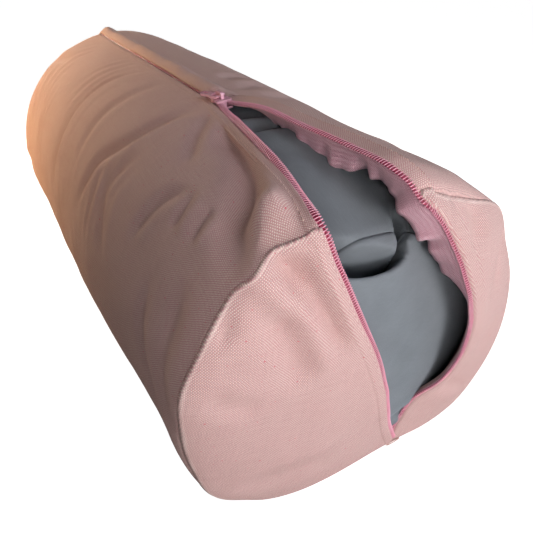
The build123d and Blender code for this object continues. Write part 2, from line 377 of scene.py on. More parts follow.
def material(name, roughness, sheen=0.0, coat=0.0, specular=0.5):
    """A new material, its node tree, and the inputs of its shader."""
    made = bpy.data.materials.new(name)
    made.use_nodes = True
    shader = next(n for n in made.node_tree.nodes if n.type == "BSDF_PRINCIPLED").inputs
    shader["Roughness"].default_value = roughness
    shader["Sheen Weight"].default_value = sheen
    shader["Sheen Roughness"].default_value = 0.4
    shader["Coat Weight"].default_value = coat
    shader["Specular IOR Level"].default_value = specular
    return made, made.node_tree, shader


def bump(shader, height, strength, distance):
    fed = {"Strength": strength, "Distance": distance * MM, "Height": height}
    plug(node(height.tree, "ShaderNodeBump", named=fed), shader["Normal"])


def object_place(tree):
    return node(tree, "ShaderNodeTexCoord", output="Object")


def paler_attribute(tree):
    return node(tree, "ShaderNodeAttribute", output="Fac", attribute_name="paler")


def weave_place(tree, pitch):
    """Places across and along the cloth, counted in yarns, from the cloth's own map in millimetres."""
    place = node(tree, "ShaderNodeUVMap", uv_map="weave")
    wobble = noise(tree, place, 0.16, 3.0, output="Color")
    moved = node(tree, "ShaderNodeVectorMath", wobble, (1.1, 1.1, 0), operation="MULTIPLY")
    added = node(tree, "ShaderNodeVectorMath", place, moved, operation="ADD")
    across, along = (node(tree, "ShaderNodeSeparateXYZ", added, output=k) * (1 / pitch) for k in (0, 1))
    return place, across, along


def stretched(across, along, x_scale, y_scale):
    return node(across.tree, "ShaderNodeCombineXYZ", across * x_scale, along * y_scale)


def canvas_material():
    """Pink warp and cream weft in a plain weave, with slubs, specks, broad mottling and painted shade between
    the yarns, and painted paler beside seams.
    """
    made, tree, shader = material("canvas", roughness=0.88, sheen=0.25, specular=0.2)
    plug((0.95, 0.72, 0.68), shader["Sheen Tint"])
    place, across, along = weave_place(tree, 0.62)
    over = (across.maths("FLOOR") + along.maths("FLOOR")).maths("PINGPONG", 1.0)
    humps = [(v * pi).maths("SINE").maths("ABSOLUTE") for v in (across, along)]
    height = (humps[0] * humps[1]).maths("POWER", 0.45)
    warp_slub = noise(tree, stretched(across, along, 1.0, 0.035), 1.0, 1.0)
    weft_slub = noise(tree, stretched(across, along, 0.035, 1.0), 1.0, 1.0)
    mottle = noise(tree, place, 0.045, 4.0, 0.65)
    speck = noise(tree, stretched(across, along, 0.35, 0.6), 1.0, 0.0).ramp(0.80, 0.86)
    pink = warp_slub.between((0.50, 0.225, 0.23), (0.76, 0.41, 0.41))
    cream = weft_slub.between((0.69, 0.49, 0.44), (0.92, 0.75, 0.68))
    yarns = over.between(pink, cream)
    blushed = mottle.ramp(0.35, 0.75).between(yarns, (0.72, 0.41, 0.40))
    # Painted shade: the colour is multiplied by a grey from the weave's height, so it darkens between the
    # yarns.
    shade = height * 0.62 + 0.42
    grey = node(tree, "ShaderNodeCombineColor", shade, shade, shade)
    gap_shaded = mix(tree, 0.78, mix(tree, 0.22, yarns, blushed), grey, "MULTIPLY")
    # The cloth is painted paler beside the seams, where its piece's point attribute says.
    seam_paled = paler_attribute(tree).between(gap_shaded, (0.95, 0.80, 0.74))
    plug(speck.between(seam_paled, (0.62, 0.12, 0.16)), shader["Base Color"])
    bump(shader, height, 0.75, 0.22)
    return made


def tape_material():
    """Shiny herringbone tape of the zip, its ribs painted light on their crests and dark in their grooves as
    highlight and shade.
    """
    made, tree, shader = material("tape", roughness=0.42, sheen=0.35, specular=0.7)
    across, along = weave_place(tree, 1.0)[1:]
    rib = ((along + across.maths("PINGPONG", 1.3)) * (2 * pi / 0.9)).maths("SINE")
    height = rib * 0.5 + 0.5
    fuzz = noise(tree, stretched(across, along, 3.0, 0.6), 1.0, 3.0)
    # Painted highlight and shade: the colour follows the ribs' height, light on the crests and dark in the
    # grooves.
    plug((height * (fuzz + 0.4)).between((0.54, 0.18, 0.26), (1.0, 0.64, 0.72)), shader["Base Color"])
    bump(shader, height, 0.9, 0.30)
    return made


def coil_material():
    """Nylon, a little translucent: pale wound filament on a core painted dark red as shade between the
    windings.
    """
    made, tree, shader = material("coil", roughness=0.36, coat=0.25, specular=0.6)
    place = object_place(tree)
    streak = noise(tree, place, 900.0)
    filament = (streak * noise(tree, place, 60.0)).between((0.80, 0.28, 0.40), (1.0, 0.70, 0.78))
    # Painted shade: the core, where the point attribute is 0, is coloured dark red so the gaps between the
    # windings look shaded.
    plug(paler_attribute(tree).between((0.36, 0.03, 0.08), filament), shader["Base Color"])
    shader["Subsurface Weight"].default_value = 0.15
    shader["Subsurface Radius"].default_value = (0.001, 0.0004, 0.0004)
    bump(shader, streak, 0.25, 0.05)
    return made


def thread_material(name, dark, light):
    """Twisted sewing thread, painted darker in the grooves of its twist as shade."""
    made, tree, shader = material(name, roughness=0.6, sheen=0.3)
    place = object_place(tree)
    fed = {"Scale": 600.0, "Distortion": 1.5}
    twist = node(tree, "ShaderNodeTexWave", place, output="Fac", named=fed, bands_direction="DIAGONAL")
    fuzz = noise(tree, place, 1500.0)
    # Painted shade: the colour follows the twist's bands, darker in its grooves.
    plug((twist * (fuzz + 0.5)).between(dark, light), shader["Base Color"])
    bump(shader, twist, 0.5, 0.1)
    return made


def enamel_material():
    """Painted die-cast metal with a few scuffed spots."""
    made, tree, shader = material("enamel", roughness=0.28, coat=0.6, specular=0.6)
    shader["Coat Roughness"].default_value = 0.12
    place = object_place(tree)
    flow = noise(tree, place, 250.0, 3.0)
    paler = noise(tree, place, 700.0, 4.0, 0.7).ramp(0.66, 0.74)
    paint = flow.between((0.74, 0.33, 0.45), (0.96, 0.58, 0.69))
    plug(paler.between(paint, (0.95, 0.68, 0.74)), shader["Base Color"])
    plug(flow * 0.25 + 0.16, shader["Roughness"])
    bump(shader, flow, 0.15, 0.1)
    return made


def liner_material():
    """Blue-grey microfibre: a fine twill with soft brushed patches, painted darker in the twill's grooves as
    shade.
    """
    made, tree, shader = material("microfibre", roughness=0.82, sheen=0.35, specular=0.25)
    plug((0.62, 0.72, 0.82), shader["Sheen Tint"])
    place, across, along = weave_place(tree, 0.34)
    twill = ((across + along) * pi).maths("SINE")
    rib = (along * (2 * pi)).maths("SINE")
    height = (twill + rib) * 0.25 + 0.5
    brushed = noise(tree, place, 0.06, 4.0, 0.6)
    yarn = noise(tree, stretched(across, along, 0.06, 1.2), 1.0)
    base = brushed.between((0.128, 0.144, 0.160), (0.228, 0.250, 0.268))
    # Yarn tone that varies along the yarns, darkened where the twill's height dips as painted shade.
    thread = (height * yarn).between((0.105, 0.120, 0.136), (0.32, 0.345, 0.365))
    plug(mix(tree, 0.5, base, thread), shader["Base Color"])
    bump(shader, height, 0.45, 0.1)
    return made


canvas = canvas_material()
tape_cloth = tape_material()
nylon = coil_material()
pink_thread = thread_material("pink_thread", (0.45, 0.22, 0.20), (0.88, 0.64, 0.56))
grey_thread = thread_material("grey_thread", (0.05, 0.06, 0.08), (0.16, 0.19, 0.22))
enamel = enamel_material()
microfibre = liner_material()

# ---------- outline of the cover

# Radius of the open end's seam by turn, as it has sagged and been pulled about.
SEAM_OUTLINE = [
    (-169, 96.3), (-157, 97.6), (-146, 98.8), (-134, 99.5), (-121, 103.5), (-102, 102.5), (-85, 105.5),
    (-71, 110.6), (-62, 109.6), (-50, 110), (-38, 111.2), (-29, 108.6), (-18, 107), (-4, 105), (9, 103.5),
    (18, 101.5), (29, 104), (41, 111), (58, 108.5), (74, 112), (95, 119), (115, 125), (129, 127),
    (140, 118), (150, 106), (160, 100), (172, 97),
]
# How far inside the barrel's own radius that seam lies.
SEAM_DROP = [
    (-175, 0.6), (-121, 1.5), (-100, 3), (-85, 3), (-70, 1.5), (-45, 1.5), (-25, 2.5), (0, 6), (15, 10),
    (26, 9), (41, 2), (60, 2), (120, 2.5), (160, 1),
]
# How far the seam strays along the roll.
SEAM_SWAY = [
    (-160, 0), (-120, 0.5), (-95, -1), (-75, 1.5), (-62, 0.8), (-53, -0.8), (-46, -1.8), (-40.5, 1.8),
    (-35, -1.9), (-30, 0.8), (-10, 0), (20, 1), (45, 0), (80, 3), (110, 5), (135, 3), (165, 0),
]
SEAM_X = HALF + 1.5

# Sides of the two cut edges of the cloth, by place along the roll, then how high the edge rises.
LEFT_TOP = [
    (40, -CLOSED_LIP), (66, -CLOSED_LIP), (76, -6.2), (110, -10.6), (141, -14.8),
    (174, -20.0), (210, -29.6),
]
RIGHT_TOP = [
    (40, CLOSED_LIP), (66, CLOSED_LIP), (76, 6.2), (104, 11.4), (136, 15.8),
    (169, 22.3), (195, 26.3), (210, 31.5),
]
RIGHT_TOP_RADIUS = [
    (-HALF, 112), (40, 112), (66, 112.2), (76, 113.0), (104, 116), (136, 115), (169, 113.5), (195, 111),
    (209, 105),
]
# On the open end: height in the zip's frame, then side.
LEFT_END = [
    (-105, 29.5), (-100, 27.8), (-80, 21.6), (-58, 14.6), (-14, 4.6), (28, -6.2), (54, -14.8),
    (80, -22.2), (104, -29.4),
]
RIGHT_END = [
    (-105, 29.5), (-100, 32.0), (-88, 32.0), (-75, 33.5), (-60, 38), (-50, 42), (-34, 52.2), (-11, 60.2),
    (11, 61.2), (37, 54.3), (62, 47.3), (80, 41.3), (90, 38.3), (104, 31.2),
]
# How far the cloth of each half stands out past the seam beside its lip, by height.
LEFT_DOME = [(-110, 7), (-60, 9.5), (-20, 12.5), (40, 13.5), (80, 13), (110, 12)]
RIGHT_DOME = [
    (-110, 3), (-75, 4), (-50, 8), (-34, 16), (-11, 21), (20, 24.5), (45, 25), (70, 24), (90, 22),
    (110, 16),
]

# Folds of the barrel: depth, width, ridge, then (place along the roll, turn) along the bottom.
BARREL_FOLDS = [
    (2.6, 5.0, 0.3, [(71, -15), (62, -23), (56, -32), (46, -42), (30, -52), (27, -61), (26, -72)]),
    (2.2, 5.0, 0.4, [(80, -16), (93, -24), (104, -29), (119, -34)]),
    (8.5, 8.5, 0.4, [(92, -15), (110, -18), (130, -20), (152, -25), (173, -32), (188, -38), (203, -44)]),
    (1.8, 4.0, 0.5, [(141, -36), (144, -41), (147, -48)]),
    (1.8, 4.0, 0.5, [(161, -36), (163, -41), (165, -47)]),
    (2.2, 5.0, 0.3, [(138, -36), (124, -44), (118, -52), (117, -60)]),
    (1.8, 5.0, 0.4, [(75, -39), (62, -52), (66, -60), (78, -67), (96, -73)]),
    (1.2, 4.5, 0.5, [(84, -42), (74, -52), (77, -60), (90, -68)]),
    (1.6, 6.0, 0.3, [(178, -52), (184, -62), (190, -74), (200, -84)]),
    (1.8, 6.0, 0.3, [(150, -58), (160, -72), (176, -86), (190, -98)]),
    (1.4, 5.0, 0.3, [(10, -14), (-4, -28), (-12, -44), (-6, -60)]),
    (1.5, 5.0, 0.3, [(-30, -14), (-52, -26), (-62, -42), (-56, -62), (-40, -80)]),
    (1.6, 6.0, 0.4, [(74, 6), (66, 14), (60, 24)]),
    (1.4, 5.0, 0.4, [(50, 2), (40, 10), (32, 20)]),
    (1.4, 5.0, 0.4, [(26, 2), (14, 9), (6, 18)]),
    (2.0, 7.0, 0.3, [(150, 18), (160, 28), (178, 36), (196, 40)]),
    (2.4, 8.0, 0.3, [(120, 60), (150, 72), (180, 80), (200, 82)]),
    (2.0, 8.0, 0.3, [(60, 90), (100, 100), (150, 104), (196, 102)]),
    (1.6, 6.0, 0.3, [(-204, -40), (-188, -36), (-168, -33)]),
    (1.6, 6.0, 0.3, [(-204, 30), (-186, 34), (-160, 37)]),
    (1.6, 6.0, 0.3, [(-204, 84), (-184, 82), (-162, 78)]),
    (1.6, 6.0, 0.3, [(-204, -96), (-182, -92), (-156, -90)]),
]
# How the fine arcs of the far half bend along the roll, by turn.
ARC_BEND = [
    (-120, 6), (-90, -6), (-66, -20), (-49, -31), (-31, -28), (-10, 0), (30, 6), (90, -6), (130, 0),
]

# Folds of the two ends: depth, width, ridge, then (y, z).
LEFT_CAP_FOLDS = [
    (6.5, 6.5, 0.4, [(-57, 194), (-50, 174), (-42, 158), (-34, 142), (-29, 126)]),
    (2.6, 5.0, 0.5, [(-66, 190), (-56, 175), (-52, 166)]),
    (4.6, 8.0, 0.5, [(-66, 166), (-60, 152), (-53, 136), (-49, 118)]),
    (2.4, 5.0, 0.4, [(-90, 171), (-87, 162), (-84, 152)]),
    (1.6, 6.0, 0.3, [(-96, 130), (-84, 120), (-70, 114)]),
    (2.0, 10.0, 0.3, [(-80, 60), (-50, 48), (-16, 44)]),
    (2.0, 7.0, 0.4, [(-34, 196), (-27, 180), (-25, 170)]),
]
RIGHT_CAP_FOLDS = [
    (2.2, 6.0, 0.4, [(44, 196), (46, 182), (46, 168)]),
    (1.8, 6.0, 0.3, [(84, 168), (78, 150), (74, 128)]),
    (1.8, 8.0, 0.3, [(112, 110), (98, 92), (84, 80)]),
    (1.6, 6.0, 0.3, [(100, 40), (86, 46), (72, 56)]),
]
BACK_CAP_FOLDS = [
    (1.8, 6.0, 0.3, [(-60, 180), (-46, 160), (-38, 140)]),
    (1.8, 6.0, 0.3, [(50, 186), (42, 166), (38, 150)]),
    (1.6, 6.0, 0.3, [(92, 120), (74, 112), (58, 108)]),
    (1.6, 6.0, 0.3, [(-96, 70), (-76, 78), (-60, 82)]),
    (1.6, 7.0, 0.3, [(40, 20), (32, 40), (26, 58)]),
]


def flattened(radius, turn, axis, floor=0.0):
    """Radius of a roll that rests flat on its underside."""
    down = np.maximum(-np.cos(np.radians(turn)), 1e-3)
    flat = (axis - floor) / down
    return np.where(down > 2e-3, (radius**-24 + flat**-24) ** (-1 / 24), radius)


def off_floor(turn):
    """1 round the roll, falling to 0 where it rests on the floor."""
    return smooth01((FLOOR_TURN - np.abs(turn)) / 20)


def seam_radius(turn):
    return around(SEAM_OUTLINE, turn)


def seam_x(turn):
    return SEAM_X + around(SEAM_SWAY, turn)


def edge_turn(side, radius):
    """Turn of a lip from its side in the zip's frame."""
    return np.degrees(np.arcsin(side / radius)) - ZIP_ROLL


def barrel_folds(x, turn):
    """Radial height of the barrel's folds, its bulge beside the seam and the fine arcs round its far half."""
    v = turn * MM_PER_DEGREE
    height = all_folds(BARREL_FOLDS, x, v, MM_PER_DEGREE)
    height += 7.0 * bell((x - 187) / 11) * bell((turn + 29) / 7.5)
    phase = 2 * pi * (x - around(ARC_BEND, turn)) / 12.5 + 3.6 * wander(x / 40, v / 75, 3)
    patch = smooth01(0.5 + 1.1 * wander(x / 26 + 7, v / 60, 4))
    patch = patch * (0.4 + 0.6 * smooth01((-turn + 10) / 30) * smooth01((turn + 125) / 30))
    far = smooth01((95 - x) / 60) * smooth01((x + 200) / 30)
    height += 0.55 * np.sin(phase) * patch * far * smooth01((150 - np.abs(turn)) / 30)
    height += 0.9 * wander(x / 55, v / 50, 5) + 0.35 * wander(x / 22, v / 24, 6)
    from_chain = np.abs(turn + ZIP_ROLL) * MM_PER_DEGREE
    from_lip = np.abs(edge_turn(through(LEFT_TOP, x), LEFT_LIP_RADIUS) - turn) * MM_PER_DEGREE
    height *= smooth01((from_chain - 4.5) / 9) * smooth01((from_lip + 0.5) / 10)
    return height * np.where(np.abs(turn) > FLOOR_TURN, 0.15, 1.0)


def barrel_surface(x, turn, lift=0.0):
    """The barrel's outside at each place along the roll and turn."""
    from_seam, from_back = seam_x(turn) - x, x + HALF
    near = smooth01((x - 30) / 150)
    drop = around(SEAM_DROP, turn)
    radius = flattened(RADIUS, turn, AXIS) * (1 - near) + (seam_radius(turn) + drop) * near
    radius -= drop * rounded(np.clip(1 - from_seam / RIM, 0, 1))
    radius -= BACK_DROP * rounded(np.clip(1 - from_back / BACK_RIM, 0, 1)) * off_floor(turn)
    radius -= 0.4 * bell(from_seam / 0.9) + 1.0 * bell(from_back / 1.3)
    inside = smooth01(from_seam / 8) * smooth01(from_back / 8)
    made = polar(x, radius + lift + barrel_folds(x, turn) * (0.25 + 0.75 * inside), turn)
    made[..., 2] = np.maximum(made[..., 2], 0.15)
    return made


def cap_surface(y, z, dome, folds, outline, sign=1.0, free=1.0):
    """An end panel's outside over points of its plane: dome is its height there, free how far it may fold."""
    turn = turn_of(y, z)
    share = np.clip(np.hypot(y, z - AXIS) / outline(turn), 0, 1)
    rim = seam_x(turn) if sign > 0 else HALF
    x = SEAM_X + (rim - SEAM_X) * share**5 + dome * (1 - share**2.6 * 0.9995) ** 0.72
    x += all_folds(folds, y, z) * smooth01((1 - share) / 0.06) * free
    x += (0.7 * wander(y / 30, z / 30, 8) + 0.25 * wander(y / 12, z / 12, 9)) * smooth01((1 - share) / 0.1)
    return np.stack([sign * x, y, z], -1)


def with_seam_allowance(points, row, inward, length=5.0, steps=3):
    """Adds rows past an edge that turn in at a seam, along the given inward directions."""
    depth = np.broadcast_to(length, len(inward))[:, None]
    extra = [points[row] + inward * depth * (k / steps) ** 1.1 for k in range(1, steps + 1)]
    return np.concatenate([points, extra]) if row == -1 else np.concatenate([extra[::-1], points])


def hem(edge, outward, side, ends=0):
    """Columns of a folded cloth edge: round by half a turn, then back under. Its ends only follow on."""
    whole = slice(ends, len(edge) - ends)
    along = unit(np.gradient(edge[whole], axis=0))
    away = unit(np.cross(along, outward[whole])) * side
    down = -unit(np.cross(away, along)) * side
    away, down = (np.pad(v, ((ends, ends), (0, 0)), mode="edge") for v in (away, down))
    rolled = [edge + HEM * (np.sin(a) * away + (1 - np.cos(a)) * down) for a in np.linspace(0, pi, 6)[1:]]
    back = [rolled[-1] - away * d + down * 0.15 for d in (2.0, 4.5)]
    return np.stack(rolled + back, 1)


def carried_on(uv, rows, columns):
    """A grid's weave map with rows and columns added before and after it, at cloth scale."""
    for axis, (before, after) in enumerate((rows, columns)):
        first, last = np.take(uv, [0], axis=axis), np.take(uv, [-1], axis=axis)
        step = np.zeros(2)
        step[axis] = 1.2
        head = [first - step * k for k in range(before, 0, -1)]
        tail = [last + step * k for k in range(1, after + 1)]
        uv = np.concatenate(head + [uv] + tail, axis=axis)
    return uv


# ---------- cover barrel


def band(away, width, tilt=0.0):
    """1 on the folded cloth beside a lip and 0 past it, with a ditch along it. Tilt lowers the lip."""
    rise = 1 - tilt * (1 - np.clip(away / width, 0, 1))
    return rise * (1 - smooth01((away - width + 0.9) / 1.8)) - 0.35 * bell((away - width - 0.6) / 0.9)


def seam_paling(away, at):
    """How much paler the cloth is painted beside a seam, from the distance to it."""
    return 0.55 * bell((away - 0.9) / 0.55) * (0.55 + 0.45 * wander(at / 6, at / 90, 51))


row_share = through([(0, 0), (0.06, 0.03), (0.36, 0.42), (0.92, 0.965), (1, 1)], np.linspace(0, 1, 190))
COLUMN_SPACING = [(0, 0), (0.07, 0.02), (0.5, 0.31), (0.64, 0.60), (0.92, 0.97), (1, 1)]  # from the left lip
column_share = through(COLUMN_SPACING, np.linspace(0, 1, 250))
row_x = -HALF + row_share * 2 * HALF
left_turn = edge_turn(through(LEFT_TOP, row_x), LEFT_LIP_RADIUS)
right_radius = through(RIGHT_TOP_RADIUS, row_x)
right_turn = edge_turn(through(RIGHT_TOP, row_x), right_radius)
turn_grid = left_turn[:, None] + (right_turn - 360 - left_turn)[:, None] * column_share
turn_grid = (turn_grid + 180) % 360 - 180
x_grid = -HALF + row_share[:, None] * (seam_x(turn_grid) + HALF)

# The right lip is lifted and its stitched band stands up; the left band is flatter.
flat_edge = barrel_surface(row_x, right_turn)
edge_radius = np.hypot(flat_edge[:, 1], flat_edge[:, 2] - AXIS)
opened = smooth01((row_x - MOUTH_START) / 16)[:, None]
from_left = column_share * LIP_TO_LIP
from_right = (1 - column_share) * LIP_TO_LIP
lift = (right_radius - edge_radius)[:, None] * opened * bell(from_right / 15)
standing = 2.4 * band(from_right, STITCH_OUTSIDE[1], 0.9) + 0.5 * band(from_left, STITCH_OUTSIDE[-1])
lift = lift + opened * standing
barrel_grid = barrel_surface(x_grid, turn_grid, lift)
barrel_uv = np.stack([x_grid, column_share * CLOTH_ROUND + 0 * x_grid], -1)

radial = out_of_roll(barrel_grid)
beside_lip = np.minimum(column_share, 1 - column_share) * CLOTH_ROUND
allowance = 0.8 + 4.2 * smooth01((beside_lip - 2) / 10)
barrel_rows = with_seam_allowance(barrel_grid, -1, unit(-radial[-1] - [SEAM_LEAN, 0, 0]), allowance)
barrel_rows = with_seam_allowance(barrel_rows, 0, unit(-radial[0] + [SEAM_LEAN, 0, 0]), allowance)
outward = out_of_roll(barrel_rows)
left_hem = hem(barrel_rows[:, 0], outward[:, 0], -1, 3)
right_hem = hem(barrel_rows[:, -1], outward[:, -1], 1, 3)
barrel_all = np.concatenate([left_hem[:, ::-1], barrel_rows, right_hem], 1)
barrel_map = carried_on(barrel_uv, (3, 3), (left_hem.shape[1], right_hem.shape[1]))
barrel_faces = grid_faces(*barrel_all.shape[:2])
cover_barrel = piece("cover_barrel_canvas", barrel_all, barrel_faces, canvas, "cover_cloth", barrel_map)
thicken(cover_barrel, CLOTH)
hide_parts("cover_barrel")

# ---------- end panels

rim_turns = turn_of(barrel_grid[-1, :, 1], barrel_grid[-1, :, 2])
rim_reach = np.hypot(barrel_grid[-1, :, 1], barrel_grid[-1, :, 2] - AXIS)


def rim_radius(turn):
    """How far from the axis the barrel's open end is sewn to the end panels."""
    return np.interp(turn, rim_turns, rim_reach, period=360)


def half_panel(name, lip, dome_by_height, folds, side):
    """One half of the open end, between its lip and the seam."""
    w = np.linspace(0, 1, 190)
    corner = barrel_grid[-1, 0 if side < 0 else -1]
    top_turn, low_turn = turn_of(corner[1], corner[2]), MOUTH_FOOT_TURN - (360 if side < 0 else 0)
    seam_turn = top_turn + (low_turn - top_turn) * w
    seam_y, seam_z = polar(0, rim_radius(seam_turn), seam_turn)[:, 1:].T
    end_side, end_height = to_zip(seam_y[[0, -1]], seam_z[[0, -1]])
    lip_height = end_height[0] + (end_height[1] - end_height[0]) * w
    lip_side = through(lip, lip_height)
    for end in (0, -1):
        miss = end_side[end] - lip_side[end]
        lip_side = lip_side + miss * bell((lip_height - end_height[end]) / 12)
    lip_y, lip_z = (v[:, None] for v in from_zip(lip_side, lip_height))
    share = through([(0, 0), (0.15, 0.08), (0.8, 0.88), (1, 1)], np.linspace(0, 1, 84))
    y = lip_y * (1 - share) + seam_y[:, None] * share
    z = lip_z * (1 - share) + seam_z[:, None] * share
    away = np.hypot(y - lip_y, z - lip_z)
    dome = CAP_DOME + (through(dome_by_height, to_zip(y, z)[1]) - CAP_DOME) * bell(away / 42)
    surface = cap_surface(y, z, dome, folds, rim_radius, free=smooth01((away + 1) / 10))
    from_ends = np.minimum(w, 1 - w)
    standing = (1.3 if side > 0 else 0.35) * band(away, STITCH_OUTSIDE[side], 0.5)
    surface[..., 0] += standing * smooth01(from_ends * 18)[:, None]
    inward = unit(np.stack([-SEAM_LEAN + 0 * seam_y, -seam_y, AXIS - seam_z], -1) / [1, 110, 110])
    allowance = 0.6 + 4.4 * smooth01((from_ends * 350 - 3) / 12)
    grid = with_seam_allowance(surface.transpose(1, 0, 2), -1, inward, allowance)
    lips = hem(grid[0], np.broadcast_to([1.0, 0, 0], grid[0].shape), side)
    grid = np.concatenate([lips.transpose(1, 0, 2)[::-1], grid])
    c, s = cos(CAP_GRAIN), sin(CAP_GRAIN)
    uv = np.stack([y * c - z * s, y * s + z * c], -1) + CAP_WEAVE_APART * side
    mapped = carried_on(uv.transpose(1, 0, 2), (lips.shape[1], 3), (0, 0))
    reach = np.hypot(y - seam_y[:, None], z - seam_z[:, None])
    # Paler painting beside the seam, falling off with the distance to it.
    paler = seam_paling(reach, seam_turn[:, None] * MM_PER_DEGREE).T
    paler = np.pad(paler, ((lips.shape[1], 3), (0, 0)))
    faces = grid_faces(*grid.shape[:2])
    made = piece(name, grid, faces if side < 0 else flipped(faces), canvas, "cover_cloth", mapped, paler)
    thicken(made, CLOTH)
    return made, surface


cap_left, cap_left_grid = half_panel("front_cap_left_canvas", LEFT_END, LEFT_DOME, LEFT_CAP_FOLDS, -1)
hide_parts("front_cap_left")
cap_right, cap_right_grid = half_panel("front_cap_right_canvas", RIGHT_END, RIGHT_DOME, RIGHT_CAP_FOLDS, 1)
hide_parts("front_cap_right")


def disc_panel(name, rows, columns, surface_of, lean, sign, look, slot):
    """A whole end panel as rings closing on a middle point."""
    turn = np.linspace(-180, 180, columns, endpoint=False)
    share = through([(0, 0.02), (0.7, 0.8), (1, 1)], np.linspace(0, 1, rows))[:, None]
    grid = with_seam_allowance(surface_of(share, turn[None, :]), -1, into_roll(turn, lean))
    points = np.concatenate([grid.reshape(-1, 3), grid[0].mean(0)[None]])
    faces = grid_faces(len(grid), columns, closed=True)
    faces += [[len(points) - 1, (k + 1) % columns, k] for k in range(columns)]
    return piece(name, points, faces if sign < 0 else flipped(faces), look, slot, points[:, 1:])


def back_outline(turn):
    return flattened(RADIUS, turn, AXIS) - BACK_DROP * off_floor(turn) - 1.0


def back_surface(share, turn):
    y, z = np.moveaxis(polar(0, share * back_outline(turn), turn), -1, 0)[1:]
    return cap_surface(y, z, BACK_DOME, BACK_CAP_FOLDS, back_outline, -1)


back_cap = disc_panel("back_cap_canvas", 70, 240, back_surface, SEAM_LEAN, -1, canvas, "cover_cloth")
thicken(back_cap, CLOTH)
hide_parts("back_cap")

# ---------- course of the zip

# One lip's cut edge with its directions along, out of the cloth and towards the mouth, and under, the
# places across the cloth that its tape follows.
Course = namedtuple("Course", "edge along out mouth under")
UNDER_CLOTH = (3.0, 6.5, 10.5)  # distances of those places from the cut edge


def resampled(path, step, *also):
    """A path and what goes with it at even distances."""
    length = distances(path)
    at = np.linspace(0, length[-1], max(int(length[-1] / step), 2))
    return [np.stack([np.interp(at, length, a[:, k]) for k in range(a.shape[1])], -1) for a in (path, *also)]


def eased(values, reach):
    """Values along a path, averaged over a few neighbours."""
    weight = np.hanning(2 * reach + 3)[1:-1]
    weight /= weight.sum()
    wide = np.concatenate([np.repeat(values[:1], reach, 0), values, np.repeat(values[-1:], reach, 0)])
    return np.stack([np.convolve(wide[:, k], weight, "valid") for k in range(values.shape[1])], -1)


def at_distance(grid, distance):
    """Points of each row of a grid at a distance from its first point, along the cloth."""
    rows = zip(grid, distances(grid, 1))
    return np.array([[np.interp(distance, far, row[:, k]) for k in range(3)] for row, far in rows])


def lip_grids(side):
    """The barrel's and the open end's grids, their rows starting at a lip."""
    return (barrel_grid, cap_left_grid) if side < 0 else (barrel_grid[:, ::-1], cap_right_grid)


def zip_course(side):
    """The course of one lip, from the far end of the zip to the foot of the mouth."""
    grid, cap = lip_grids(side)
    grid, cap = grid[(row_x > ZIP_FAR_END - 8) & (row_x < HALF - 3.5)], cap[2:]
    edge = np.concatenate([grid[:, 0], cap[:, 0]])
    under = [np.concatenate([at_distance(grid, d), at_distance(cap, d)]) for d in UNDER_CLOTH]
    edge, *under = resampled(edge, 0.8, *under)
    edge, under = eased(edge, 5), [eased(line, 4) for line in under]
    along = unit(np.gradient(edge, axis=0))
    away = eased(under[1], 12) - edge
    mouth = -unit(away - (away * along).sum(1, keepdims=True) * along)
    return Course(edge, along, unit(np.cross(along, mouth) * -side), mouth, np.stack(under, 1))


courses = {"left": zip_course(-1), "right": zip_course(1)}


def from_low_end(edge):
    """Distance back from the low end of a course."""
    length = distances(edge)
    return length[-1] - length


def coil(name, course, phase):
    """A nylon coil: a wound filament on a flat core of three cords."""
    opened = smooth01((course.edge[:, 0] - MOUTH_START) / 40)[:, None]
    gap = 3.1 - 0.9 * opened * smooth01(from_low_end(course.edge) / 14)[:, None]
    centre = course.edge + course.mouth * gap - course.out * 0.35
    path, out, mouth, loose = resampled(centre, COIL_PITCH / COIL_STEPS, course.out, course.mouth, opened)
    keep = path[:, 0] > ZIP_FAR_END
    path, out, mouth, loose = path[keep], unit(out[keep]), unit(mouth[keep]), loose[keep, 0]
    angle = 2 * pi * np.arange(len(path)) / COIL_STEPS + phase
    across = (COIL_WIDE + 0.2 * np.cos(angle) + 0.35 * loose) * np.cos(angle)
    wound = path + mouth * across[:, None] + out * (COIL_HIGH * np.sin(angle))[:, None]
    winding = tube(wound, FILAMENT + 0.06 * smooth01(np.cos(angle)), 6, out)
    base, out, mouth = (path - out * 0.35)[::4], out[::4], mouth[::4]
    core = joined([tube(base + mouth * beside, CORE, 6, out) for beside in (-1.0, 0.0, 0.9)])
    # 1 on the filament and 0 on the core, which the coil's material paints dark as shade.
    filament = np.repeat([1.0, 0.0], [len(winding[0]), len(core[0])])
    return piece(name, *joined([winding, core]), nylon, "zip_coil", paler=filament)


for name, phase in (("left", 0.0), ("right", pi)):
    made = coil(f"zip_coil_{name}_nylon", courses[name], phase)
    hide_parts(f"zip_coil_{name}")


def strip(name, course, points):
    """A tape along a course, its rows of points running across it."""
    width = distances(points, 1)
    uv = np.stack([width, distances(course.edge)[:, None] + 0 * width], -1)
    return thicken(piece(name, points, grid_faces(*points.shape[:2]), tape_cloth, "zip_tape", uv), TAPE, 0)


FLAT_TAPE = [(0.2, -1.75), (1.4, -1.6), (2.6, -1.5), (3.6, -1.45)]  # towards the mouth, out of the cloth
# The hanging tape: its depth and how far it waves, from its free edge up, and its tilt into the mouth in
# degrees by the distance back from its low end.
TAPE_DEPTH = np.array([13.2, 10.8, 8.4, 6.0, 3.8, 1.8, 0.0])
TAPE_SWAY = np.array([3.8, 2.9, 2.1, 1.2, 0.5, 0.1, 0.0])
TAPE_TILT = [
    (0, -30), (60, -28), (100, -12), (150, 10), (185, 16), (215, 10), (250, -4), (290, -16), (400, -40),
]


def flat_tape(course):
    """A tape that lies flat under the cloth and carries its coil."""
    shown = [course.edge + course.mouth * side + course.out * up for side, up in FLAT_TAPE]
    return np.stack([course.under[:, k] - course.out * 1.8 for k in (2, 1, 0)] + shown, 1)


